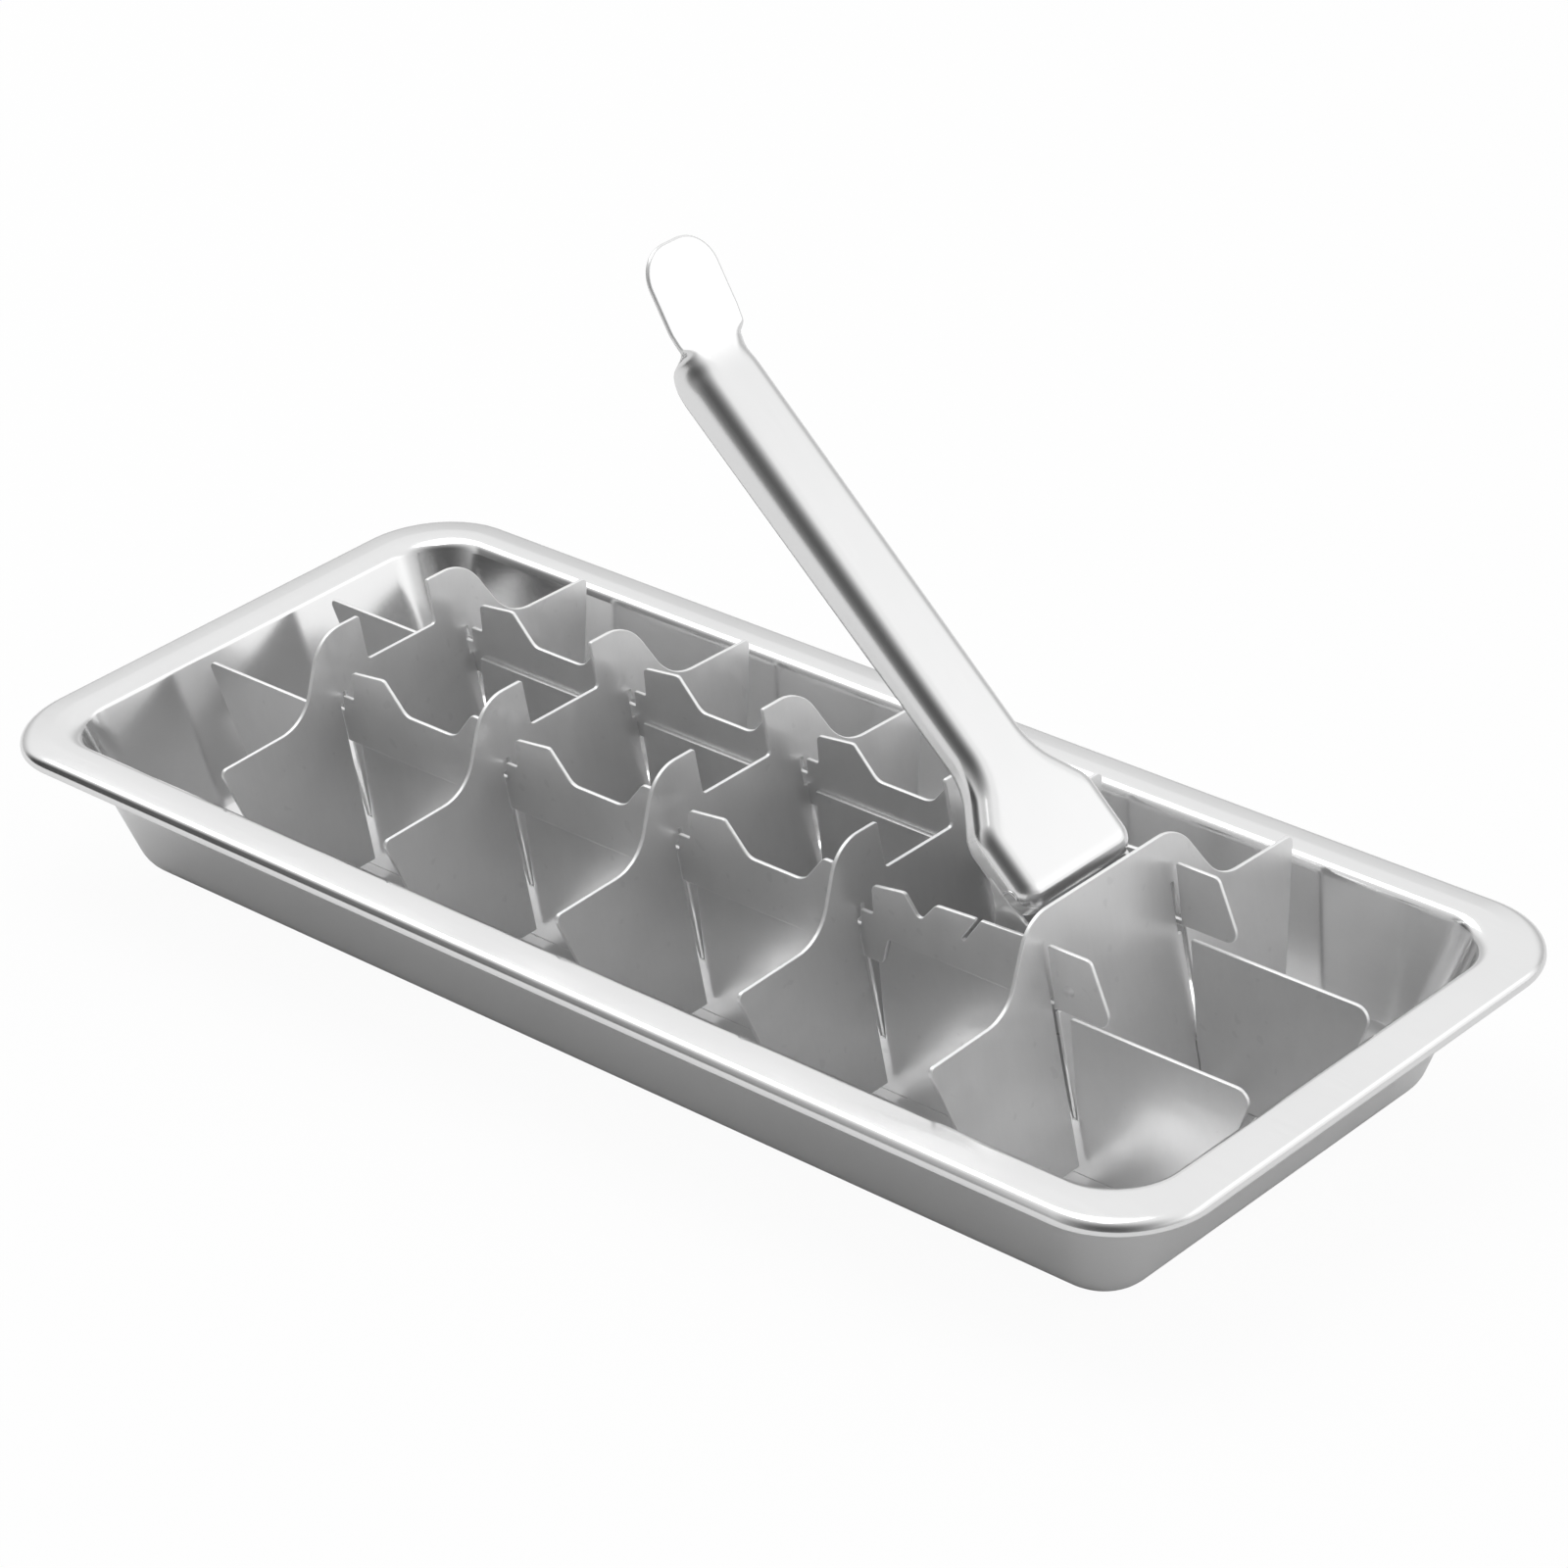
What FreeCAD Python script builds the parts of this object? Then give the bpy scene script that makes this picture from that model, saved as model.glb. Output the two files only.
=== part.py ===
import FreeCAD, Part
import math
import os
from FreeCAD import Vector

# All sizes in millimetres. Origin: centre of the tray's flat bottom.
# +X: towards the lever's hinge, +Y: the far side, +Z: up.

SHEET = 1.0                 # wall of the pressed tray and of the lever
LEAF = 0.8                  # wall of the strips, slides and cross plates
FREE = 0.05                 # gap between faces that run on each other

# Tray
TRAY_HALF = (140.0, 59.0)   # outer edge of the flange
EDGE_Z = 29.5               # height of the flange's outer edge
CROWN = 1.0                 # rise of the flange from its edge to the mouth
LIP_DROP = 3.3              # turned-down edge of the flange
FLANGE_R = 17.8
MOUTH_INSET = (5.5, 5.1)    # from the outer edge to where the crown levels off
MOUTH_R = 14.6
WALL_HALF = (132.5, 52.4)   # outer wall at the height of the edge
DRAFT = (0.437, 0.301)      # inward lean of the end and side walls, per mm down
WALL_R = (10.1, 13.3)       # upright corners at the bottom and at the edge
BOTTOM_R = 8.5

# Cross plates
PLATE_X = (-86.0, -43.0, 0.0, 43.0, 86.0)   # at GAUGE_Z, leaning
GAUGE_Z = 39.3
LEAN = 8.0                  # degrees, tops towards -X
ROCK_Z = 11.8               # height of the edge that the plates rock on
PLATE_BOTTOM = 3.4
PLATE_END = (47.0, 34.4, 0.301)             # outer corner and end slope
PLATE_BOTTOM_R = 8.0
EAR_TOP, EAR_CORNERS = 49.5, ((18.5, 8.7), (26.2, 9.5))
NOTCH_HALF, NOTCH_Z = 8.65, 40.8
LAST_TOP, LAST_CORNERS, LAST_WING = 50.4, ((19.0, 8.4), (27.4, 8.6)), 36.1
WINDOW_Z = (31.8, 37.2)     # opening in a plate above the strip
LAST_WINDOW_TOP = 41.3
TONGUE_Z = 35.0             # lower end of the tongue that the slide moves

# Lever
PIVOT = (76.8, 36.5)
LEVER_ANGLE = 44.4          # of the top panel over the horizontal
FOOT_END = (82.04, 48.39)   # x and z of the panel's lower end
FOOT_HALF, SHANK_HALF, TAB_HALF = 13.8, 7.5, 8.1
FLARE = (15.0, 24.0)        # distances from the foot end
FLARE_R = (5.0, 9.0)
NECK = (106.3, 111.8)
BEND, TAB_ANGLE, TIP = 109.4, 17.6, 18.5
TAB_SHOULDER = 4.0          # from the bend to the tab's full width
TAB_R = (3.0, 6.5)
EDGE_R = 3.6
COLLAR = 1.4                # from the leg to the strip
FLANK = (6.2, 6.0, 7.5)     # depth at the foot, at the flare and at the neck
LEG_R = 4.4
LEG_FRONT_Z = 47.8          # top of the leg's front edge, inside the flank
LEG_ROOT = 10.5             # length of the leg's seam with the flank
LEG_BACK_Z = 43.4           # where the leg's rear edge turns in to the panel
SLOT_FREE = 0.2             # each side of the link stud
SWING = 37.3                # of the link stud's radius either side of the slot, degrees

# Fixed strips
STRIP_Y = (FOOT_HALF + COLLAR, FOOT_HALF + COLLAR + LEAF)
STRIP_Z = (SHEET, 31.3)     # from the tray's floor
STRIP_X = (-124.0, 128.5)   # ends of the top edge
STRIP_FOOT_R = 9.0
ROCK_RANGE = (1.2, 17.6)    # leans that the V slots leave room for, degrees
SHOULDER_Z = 34.8           # raised part of the strip before the hinge lug
SHOULDER_X = 52.0

# Slides
SLIDE_Y = (STRIP_Y[1] + FREE, STRIP_Y[1] + FREE + LEAF)
LEDGE_Z = 36.7
LOW_Z = 37.7
TAB_Z = (42.4, 43.5)        # top of a tab beside its plate and at its far corner
TAB_LENGTH = 13.2           # from the plate to the tab's far corner
PEAK_Z = 43.8
DIP_Z = 39.2                # V notch in the cheek
CHEEK_Z = (44.1, 44.7)
END_TAB = 9.6               # length past the last plate
END_SLOPE = 4.5
SLIDE_LOW, SLIDE_HIGH = 27.5, 32.8          # lower edge before and after STEP_X
STEP_X = 50.5
GAP = (4.3, 4.4)            # open width before and after a plate
NOTCH_W = 1.86              # narrow notch round a plate's tongue
DIMPLE = (4.8, 37.3, 1.5, 0.3)              # from the last plate, height, radius, rise

# Hinge and link
PIN_R = 1.3
HEAD_R, HEAD = 2.3, 0.9
COLLAR_R = 2.2
LUG_R = 2.8
LINK_RISE = 4.0             # height of the link stud over the pivot
LINK_R = 1.0
LINK_ANGLE = 7.25           # the leg's slot from upright, degrees


def rounded(corners):
    """Closed wire through (point, radius) corners, each one rounded."""
    pts = [Vector(*p) for p, r in corners]
    count = len(pts)
    pieces = []
    for i, (p, r) in enumerate(corners):
        here, back, ahead = pts[i], pts[i - 1], pts[(i + 1) % count]
        if not r:
            pieces.append((here, None, here))
            continue
        a = (back - here).normalize()
        b = (ahead - here).normalize()
        half = a.getAngle(b) / 2
        run = r / math.tan(half)
        middle = (a + b).normalize()
        centre = here + middle * (r / math.sin(half))
        pieces.append((here + a * run, centre - middle * r, here + b * run))
    edges = []
    for i, (start, mid, end) in enumerate(pieces):
        if mid is not None:
            edges.append(Part.Arc(start, mid, end).toShape())
        following = pieces[(i + 1) % count][0]
        if end.distanceToPoint(following) > 1e-6:
            edges.append(Part.makeLine(end, following))
    return Part.Wire(edges)


def prism(corners, along):
    return Part.Face(rounded(corners)).extrude(along)


def leaf(points, y_range, side):
    """Sheet in an X-Z plane from (x, z) or (x, z, radius) points."""
    corners = [((p[0], side * y_range[0], p[1]), p[2] if len(p) > 2 else 0) for p in points]
    return prism(corners, Vector(0, side * (y_range[1] - y_range[0]), 0))


def rectangle(half, r, z):
    hx, hy = half
    return rounded([((x, y, z), r) for x, y in ((-hx, -hy), (hx, -hy), (hx, hy), (-hx, hy))])


def frustum(low, high):
    return Part.makeLoft([rectangle(*low), rectangle(*high)], True, True)


def cylinder_y(r, x, z, y_range, side):
    length = y_range[1] - y_range[0]
    return Part.makeCylinder(r, length, Vector(x, side * y_range[0], z), Vector(0, side, 0))


def one(shape):
    shape = shape.removeSplitter()
    solids = shape.Solids
    return solids[0] if len(solids) == 1 else Part.makeCompound(solids)


# ---------------------------------------------------------------- tray

def wall_half(z, inset=0.0):
    return tuple(
        WALL_HALF[i] - DRAFT[i] * (EDGE_Z - z) - inset * math.hypot(1, DRAFT[i]) for i in (0, 1)
    )


def wall_radius(z, inset=0.0):
    return WALL_R[0] + (WALL_R[1] - WALL_R[0]) * z / EDGE_Z - inset


def basin(z0, z1, inset):
    """Tapering basin with a rounded bottom edge."""
    solid = frustum(
        (wall_half(z0, inset), wall_radius(z0, inset), z0),
        (wall_half(z1, inset), wall_radius(z1, inset), z1),
    )
    low = [e for e in solid.Edges if e.BoundBox.ZMax < z0 + 0.01]
    return solid.makeFillet(BOTTOM_R - inset, low)


def tray():
    crown_z = EDGE_Z + CROWN
    outside = basin(0.0, crown_z, 0.0)
    mouth = tuple(TRAY_HALF[i] - MOUTH_INSET[i] for i in (0, 1))

    def rim(inset):
        edge = tuple(h - inset for h in TRAY_HALF)
        z = EDGE_Z - inset
        low = EDGE_Z - LIP_DROP
        block = Part.Face(rectangle(edge, FLANGE_R - inset, low)).extrude(Vector(0, 0, z - low))
        return block.fuse(
            frustum((edge, FLANGE_R - inset, z), (mouth, MOUTH_R, crown_z - inset))
        )

    flange = rim(0.0).cut(rim(SHEET))
    top = Part.Face(rectangle(mouth, MOUTH_R, crown_z - SHEET)).extrude(Vector(0, 0, SHEET))
    cavity = basin(SHEET, crown_z + 1.0, SHEET)
    return one(outside.fuse(flange).fuse(top).cut(cavity))


# ---------------------------------------------------------------- cross plates

def rock_x(plate_x):
    """X of a plate's rocking edge."""
    return plate_x + (GAUGE_Z - ROCK_Z) * math.tan(math.radians(LEAN))


def plate(plate_x, last):
    end_y, wing, slope = PLATE_END
    top, bends = (LAST_TOP, LAST_CORNERS) if last else (EAR_TOP, EAR_CORNERS)
    window_top = LAST_WINDOW_TOP if last else WINDOW_Z[1]
    wing = LAST_WING if last else wing
    foot_y = end_y - slope * (wing - PLATE_BOTTOM)
    half = [
        (bends[0][0], top, bends[0][1]),
        (bends[1][0], wing + 0.5, bends[1][1]),
        (end_y, wing, 1.2),
        (foot_y, PLATE_BOTTOM, PLATE_BOTTOM_R),
    ]
    centre = [] if last else [(NOTCH_HALF, NOTCH_Z, 0.8), (NOTCH_HALF, top, 0.6)]
    right = centre + half
    ring = right + [(-y, z, r) for y, z, r in reversed(right)]
    x0 = -LEAF / 2
    solid = prism([((x0, y, z), r) for y, z, r in ring], Vector(LEAF, 0, 0))

    low = PLATE_BOTTOM - 1
    inner = (STRIP_Y[0] - 0.1, SLIDE_Y[0] - 0.1)
    outer = (SLIDE_Y[0] - 0.1, SLIDE_Y[1] + 0.1)
    cuts = [(inner, low, ROCK_Z), (inner, WINDOW_Z[0], window_top), (outer, low, TONGUE_Z)]
    for side in (-1, 1):
        for (y0, y1), z0, z1 in cuts:
            box = Part.makeBox(LEAF + 2, y1 - y0, z1 - z0)
            box.translate(Vector(x0 - 1, y0 if side > 0 else -y1, z0))
            solid = solid.cut(box)
    solid = one(solid)
    solid.rotate(Vector(0, 0, ROCK_Z), Vector(0, 1, 0), -LEAN)
    solid.translate(Vector(rock_x(plate_x), 0, 0))
    return solid


# ---------------------------------------------------------------- strips and slides

def strip(side):
    """Fixed strip: a leaf on edge with a V slot at each plate and a hinge lug."""
    low, top = STRIP_Z
    slant = DRAFT[0] * (top - low)
    px, pz = PIVOT
    points = [
        (STRIP_X[0], top, 1.0),
        (SHOULDER_X - SHOULDER_Z + top, top, 1.0),
        (SHOULDER_X, SHOULDER_Z, 1.5),
        (px - 2.2 * LUG_R, SHOULDER_Z, 1.5),
        (px - LUG_R, pz, 0),
        (px + LUG_R, pz, 0),
        (px + 1.3 * LUG_R, pz - LUG_R, 0.6),
        (px + 1.9 * LUG_R, top, 0.6),
        (STRIP_X[1], top, 2.5),
        (STRIP_X[1] - slant, low, STRIP_FOOT_R),
        (STRIP_X[0] + slant, low, STRIP_FOOT_R),
    ]
    solid = leaf(points, STRIP_Y, side)
    solid = solid.fuse(cylinder_y(LUG_R, px, pz, STRIP_Y, side))
    for plate_x in PLATE_X:
        x = rock_x(plate_x)
        rise = pz - ROCK_Z
        near, far = (math.tan(math.radians(a)) * rise for a in ROCK_RANGE)
        edge = LEAF / 2 + 0.1
        slot = [
            (x + edge, ROCK_Z - 0.2, 0), (x + edge - near, ROCK_Z + rise, 0),
            (x - edge - far, ROCK_Z + rise, 0), (x - edge, ROCK_Z - 0.2, 0),
        ]
        solid = solid.cut(leaf(slot, (STRIP_Y[0] - 1, STRIP_Y[1] + 1), side))
    return one(solid.cut(cylinder_y(PIN_R, px, pz, (STRIP_Y[0] - 1, STRIP_Y[1] + 1), side)))


def slide(side):
    """Sliding comb: a tab, a low run and a ramp to each plate, a long cheek and an end tab."""
    before, after = GAP
    first, last = PLATE_X[0], PLATE_X[-1]
    top = [(first - before, LEDGE_Z, 1.5)]
    for x, following in zip(PLATE_X[:-2], PLATE_X[1:]):
        ramp = following - before
        top += [
            (x + after, LEDGE_Z, 0.5), (x + after, TAB_Z[0], 1.2),
            (x + TAB_LENGTH, TAB_Z[1], 1.2), (x + TAB_LENGTH + 5.2, LOW_Z, 3.0),
            (ramp - 7.4, LOW_Z, 4.0), (ramp - 2.2, PEAK_Z, 1.5),
            (ramp, PEAK_Z, 0.6), (ramp, LEDGE_Z, 0.5),
        ]
    x = PLATE_X[-2]
    dip = x + TAB_LENGTH + 1.9
    top += [
        (x + after, LEDGE_Z, 0.5), (x + after, TAB_Z[0], 1.2),
        (dip - 3.2, TAB_Z[1], 1.0), (dip, DIP_Z, 1.0), (dip + 3.8, TAB_Z[1], 2.0),
        (dip + 13.4, CHEEK_Z[0], 3.0), (last, CHEEK_Z[1], 0),
        (last + END_TAB, CHEEK_Z[1], 1.5), (last + END_TAB + END_SLOPE, SLIDE_HIGH, 2.2),
        (STEP_X, SLIDE_HIGH, 1.0), (STEP_X - 1.6, SLIDE_LOW, 1.0),
        (first - before, SLIDE_LOW, 2.0),
    ]
    solid = leaf(top, SLIDE_Y, side)
    through = (SLIDE_Y[0] - 1, SLIDE_Y[1] + 1)
    lean = math.tan(math.radians(LEAN))
    lowest = math.cos(math.radians(ROCK_RANGE[1]))
    foot = ROCK_Z + (TONGUE_Z - ROCK_Z) * lowest - 0.2
    over = CHEEK_Z[1] + 0.8
    half = NOTCH_W / 2
    for plate_x in PLATE_X:
        x = plate_x + (GAUGE_Z - (TONGUE_Z + LEDGE_Z) / 2) * lean
        left, right = x - half, x + half
        if plate_x == last:
            left -= 0.30 * (over - LEDGE_Z)
            right -= 0.10 * (over - LEDGE_Z)
        notch = [(x - half, foot), (x + half, foot), (right, over), (left, over)]
        solid = solid.cut(leaf(notch, through, side))
    ahead, z, r, rise = DIMPLE
    dimple = cylinder_y(r, last + ahead, z, (SLIDE_Y[1] - LEAF / 4, SLIDE_Y[1] + rise), side)
    return one(solid.fuse(dimple))


def pivot_pins():
    """Headed hinge pins, each with a collar between the lever's leg and the lug."""
    leg = (FOOT_HALF - SHEET, FOOT_HALF)
    pins = []
    for side in (-1, 1):
        spans = (
            (HEAD_R, leg[0] - FREE - HEAD, leg[0] - FREE),
            (PIN_R, leg[0] - FREE - HEAD / 2, leg[1] + FREE + COLLAR / 2),
            (COLLAR_R, leg[1] + FREE, STRIP_Y[0]),
            (PIN_R - 0.02, STRIP_Y[0] - COLLAR / 2, STRIP_Y[1]),
        )
        shape = None
        for r, y0, y1 in spans:
            step = cylinder_y(r, PIVOT[0], PIVOT[1], (y0, y1), side)
            shape = step if shape is None else shape.fuse(step)
        pins.append(one(shape))
    return Part.makeCompound(pins)


def link_stud(side):
    x = PIVOT[0] + LINK_RISE * math.tan(math.radians(LINK_ANGLE))
    return cylinder_y(LINK_R, x, PIVOT[1] + LINK_RISE, (FOOT_HALF - SHEET - 0.3, SLIDE_Y[0]), side)


# ---------------------------------------------------------------- lever
# Drawn with its panel level: the foot end at X = 0, the tip towards -X.

def plan(inset, length):
    """Outline of the channel from above, as ((x, y), radius) corners."""
    foot, shank = FOOT_HALF - inset, SHANK_HALF - inset
    side = [
        (-inset, foot, EDGE_R - inset),
        (-FLARE[0], foot, FLARE_R[0] + inset),
        (-FLARE[1], shank, FLARE_R[1] - inset),
        (-length, shank, 0),
    ]
    return side + [(x, -y, r) for x, y, r in reversed(side)]


def channel(inset):
    depth = 2 * FOOT_HALF
    body = prism(
        [((x, y, -depth), r) for x, y, r in plan(inset, NECK[1] + 4 + inset)],
        Vector(0, 0, depth - inset),
    )
    rims = [e for e in body.Edges if e.BoundBox.ZMin > -inset - 0.01 and e.BoundBox.XMax > -NECK[1]]
    return body.makeFillet(EDGE_R - inset, rims)


def panel(ring):
    """Flat piece of the top panel from (x, y, radius) corners."""
    return prism([((x, y, -SHEET), r) for x, y, r in ring], Vector(0, 0, SHEET))


def lever():
    angle = math.radians(LEVER_ANGLE)
    shell = channel(0.0).cut(channel(SHEET))
    foot_depth, flare_depth, neck_depth = FLANK
    below = [
        (5, 5), (-NECK[1] - 6, 5), (-NECK[1] - 6, -SHEET), (-NECK[1], -SHEET, 0.8),
        (-NECK[0], -neck_depth, 1.5), (-FLARE[1], -flare_depth, 20.0), (-FLARE[0], -foot_depth, 10.0),
        (5, -foot_depth),
    ]
    wide = 2 * FOOT_HALF
    below = [((p[0], -wide, p[1]), p[2] if len(p) > 2 else 0) for p in below]
    shell = shell.common(prism(below, Vector(0, 2 * wide, 0)))

    # Thumb tab: flat, wider than the shank and bent up
    neck = [
        (-NECK[0] + 2, -SHANK_HALF, 0), (-NECK[0] + 2, SHANK_HALF, 0),
        (-BEND, SHANK_HALF + 0.5, 0), (-BEND, -SHANK_HALF - 0.5, 0),
    ]
    tip = -BEND - TIP
    tab = [
        (-BEND + 0.3, -SHANK_HALF - 0.4, 0), (-BEND + 0.3, SHANK_HALF + 0.4, 0),
        (-BEND - TAB_SHOULDER, TAB_HALF, TAB_R[0]), (tip, TAB_HALF, TAB_R[1]),
        (tip, -TAB_HALF, TAB_R[1]), (-BEND - TAB_SHOULDER, -TAB_HALF, TAB_R[0]),
    ]
    tab = panel(tab)
    tab.rotate(Vector(-BEND, 0, 0), Vector(0, 1, 0), TAB_ANGLE)
    shell = shell.cut(Part.makeBox(wide, 2 * wide, wide, Vector(-BEND - wide, -wide, -SHEET - 0.001)))
    shape = shell.fuse(panel(neck)).fuse(tab)
    shape.rotate(Vector(0, 0, 0), Vector(0, 1, 0), LEVER_ANGLE)
    shape.translate(Vector(FOOT_END[0], 0, FOOT_END[1]))

    px, pz = PIVOT
    for side in (-1, 1):
        y_range = (FOOT_HALF - SHEET, FOOT_HALF)
        deep = foot_depth - 0.5
        ridge = Vector(FOOT_END[0] - deep * math.sin(angle), 0, FOOT_END[1] - deep * math.cos(angle))
        back = Vector(-LEG_ROOT * math.cos(angle), 0, LEG_ROOT * math.sin(angle))
        leg = leaf(
            [
                (px - LEG_R, pz), (px - LEG_R, LEG_FRONT_Z), (ridge.x + back.x, ridge.z + back.z),
                (ridge.x, ridge.z), (px + LEG_R, LEG_BACK_Z, 3.0), (px + LEG_R, pz),
            ],
            y_range, side,
        )
        leg = leg.fuse(cylinder_y(LEG_R, px, pz, y_range, side))
        shape = shape.fuse(leg)
        through = (y_range[0] - 0.5, y_range[1] + 0.5)
        shape = shape.cut(cylinder_y(PIN_R + FREE, px, pz, through, side))
        half = LINK_R + SLOT_FREE
        low = pz + LINK_RISE - half
        high = pz + LINK_RISE / math.cos(math.radians(SWING)) + half
        end = half - 0.01
        slot = leaf(
            [(px - half, low, end), (px + half, low, end), (px + half, high, end), (px - half, high, end)],
            through, side,
        )
        slot.rotate(Vector(px, 0, pz), Vector(0, 1, 0), LINK_ANGLE)
        shape = shape.cut(slot)
    return one(shape)


def main():
    os.makedirs("parts", exist_ok=True)
    nodes = {"tray": tray(), "lever": lever(), "pivot_pins": pivot_pins()}
    for side, word in ((-1, "near"), (1, "far")):
        nodes["strip_" + word] = strip(side)
        nodes["slide_" + word] = slide(side)
        nodes["link_stud_" + word] = link_stud(side)
    for number, x in enumerate(PLATE_X, 1):
        nodes["plate_%d" % number] = plate(x, x == PLATE_X[-1])
    for name, shape in nodes.items():
        shape.exportStep("parts/%s.step" % name)
        box = shape.BoundBox
        print(
            name, "solids", len(shape.Solids), "valid", shape.isValid(), "mm3", round(shape.Volume, 1),
            "box", [round(v, 2) for v in (box.XMin, box.YMin, box.ZMin, box.XMax, box.YMax, box.ZMax)],
        )


main()
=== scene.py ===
import math
import bpy
import numpy as np
from mathutils import Matrix, Vector


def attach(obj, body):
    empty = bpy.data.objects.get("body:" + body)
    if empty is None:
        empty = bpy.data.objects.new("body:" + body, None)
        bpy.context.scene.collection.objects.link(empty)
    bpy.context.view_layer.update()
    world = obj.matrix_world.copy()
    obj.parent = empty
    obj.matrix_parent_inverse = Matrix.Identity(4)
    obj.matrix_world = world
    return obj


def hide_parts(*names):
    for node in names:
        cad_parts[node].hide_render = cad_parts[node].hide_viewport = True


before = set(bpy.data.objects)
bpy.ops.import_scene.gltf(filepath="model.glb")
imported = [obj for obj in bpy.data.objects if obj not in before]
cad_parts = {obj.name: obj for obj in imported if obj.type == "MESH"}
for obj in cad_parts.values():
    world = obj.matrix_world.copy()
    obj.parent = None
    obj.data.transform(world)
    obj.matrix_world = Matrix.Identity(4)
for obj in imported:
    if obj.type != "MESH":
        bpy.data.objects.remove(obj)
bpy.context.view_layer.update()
mm = 0.001
print("frame loaded:", len(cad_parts), "nodes")


# Every length of the pieces is in millimetres until it goes into a mesh. In a list of
# corners the third number is the corner's radius.
def unit(v):
    return v / np.maximum(np.linalg.norm(v, axis=-1, keepdims=True), 1e-12)


# Outline through (x, y, radius) corners. Each corner becomes the arc that touches both its
# sides: arc = centre + radius * (cos a, sin a), with a running evenly from touch to touch.
# An open path keeps its first and last corners as plain points.
def roundedPath(corners, perArc=8, closed=True):
    pts = np.array([c[:2] for c in corners], float)
    radii = np.array([c[2] for c in corners], float)
    back, ahead = unit(np.roll(pts, 1, 0) - pts), unit(np.roll(pts, -1, 0) - pts)
    if not closed:
        radii[[0, -1]] = 0
    half = 0.5 * np.arccos(np.clip((back * ahead).sum(1), -1, 1))
    half = np.maximum(half, 1e-3)
    centre = pts + unit(back + ahead) * (radii / np.sin(half))[:, None]
    start = pts + back * (radii / np.tan(half))[:, None] - centre
    end = pts + ahead * (radii / np.tan(half))[:, None] - centre
    a0 = np.arctan2(start[:, 1], start[:, 0])
    sweep = (np.arctan2(end[:, 1], end[:, 0]) - a0 + math.pi) % (2 * math.pi) - math.pi
    a = a0[:, None] + sweep[:, None] * np.linspace(0, 1, perArc)
    arcs = centre[:, None] + radii[:, None, None] * np.stack([np.cos(a), np.sin(a)], -1)
    return arcs.reshape(-1, 2)


# Closed outline, counterclockwise, without doubled points.
def outline(corners, perArc=8):
    loop = roundedPath(corners, perArc)
    loop = loop[np.linalg.norm(loop - np.roll(loop, 1, 0), axis=1) > 1e-4]
    x, y = loop.T
    area = (x * np.roll(y, -1) - y * np.roll(x, -1)).sum()
    return loop if area > 0 else loop[::-1]


# Direction that moves both sides of each outline point in by one millimetre:
# the sum of the two inward side normals over one plus their cosine.
def inward(loop):
    ahead = unit(np.roll(loop, -1, 0) - loop)
    n = np.stack([-ahead[:, 1], ahead[:, 0]], -1)
    before = np.roll(n, 1, 0)
    return (n + before) / (1 + (n * before).sum(1, keepdims=True))


# Points spread evenly by length along a closed outline, starting at its first point.
def evenly(loop, count):
    ring = np.vstack([loop, loop[:1]])
    run = np.concatenate([[0], np.cumsum(np.linalg.norm(np.diff(ring, axis=0), axis=1))])
    at = np.linspace(0, run[-1], count, endpoint=False)
    return np.stack([np.interp(at, run, ring[:, k]) for k in (0, 1)], -1)


# Quads between neighbouring points of a grid whose rows are closed rings; closedRows also
# joins the last row to the first.
def gridQuads(rows, cols, closedRows):
    i, j = np.meshgrid(np.arange(rows - (not closedRows)), np.arange(cols), indexing="ij")
    i2, j2 = (i + 1) % rows, (j + 1) % cols
    quads = np.stack([i * cols + j, i * cols + j2, i2 * cols + j2, i2 * cols + j], -1)
    return quads.reshape(-1, 4)


# Six times the volume, as fans of tetrahedra from the origin, one fan a face: negative when
# the faces point inwards.
def signedVolume(points, faces):
    first, before, after = points[faces[:, :1]], points[faces[:, 1:-1]], points[faces[:, 2:]]
    return (first * np.cross(before, after)).sum()


# Collects the surfaces of one piece: grids of points, with or without flat caps on the
# first and last ring. edge is the edge wear of each row or of each point, and on the tray's outer
# walls their painted light.
class Shell:
    def __init__(self):
        self.points, self.quads, self.caps, self.edge, self.size = [], [], [], [], 0

    def add(self, grid, closedRows=False, capped=False, edge=None):
        rows, cols = grid.shape[:2]
        points = grid.reshape(-1, 3)
        quads = gridQuads(rows, cols, closedRows)
        ring = np.arange(cols)
        caps = [ring[::-1], ring + (rows - 1) * cols] if capped else []
        if sum(signedVolume(points, f) for f in [quads] + [c[None] for c in caps]) < 0:
            quads, caps = quads[:, ::-1], [c[::-1] for c in caps]
        if edge is None:
            edge = np.zeros(rows)
        self.points.append(points)
        self.quads.append(quads + self.size)
        self.caps += [c + self.size for c in caps]
        self.edge.append(np.broadcast_to(edge.reshape(rows, -1), (rows, cols)).ravel())
        self.size += len(points)

    def build(self, name, material):
        points, quads = np.vstack(self.points) * mm, np.vstack(self.quads)
        sizes = np.concatenate([np.full(len(quads), 4), [len(c) for c in self.caps]])
        starts = np.concatenate([[0], np.cumsum(sizes)[:-1]])
        corners = np.concatenate([quads.ravel()] + list(self.caps)).astype(np.int32)
        mesh = bpy.data.meshes.new(name)
        mesh.vertices.add(len(points))
        mesh.vertices.foreach_set("co", points.astype(np.float32).ravel())
        mesh.loops.add(len(corners))
        mesh.loops.foreach_set("vertex_index", corners)
        mesh.polygons.add(len(sizes))
        mesh.polygons.foreach_set("loop_start", starts.astype(np.int32))
        mesh.polygons.foreach_set("use_smooth", sizes == 4)
        # per point: edge wear, and painted light on the tray's outer walls
        rim = mesh.attributes.new("wearAndPaintedLight", "FLOAT", "POINT")
        rim.data.foreach_set("value", np.concatenate(self.edge).astype(np.float32))
        mesh.update(calc_edges=True)
        mesh.validate()
        mesh.materials.append(material)
        piece = bpy.data.objects.new(name, mesh)
        bpy.context.scene.collection.objects.link(piece)
        return piece


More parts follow.
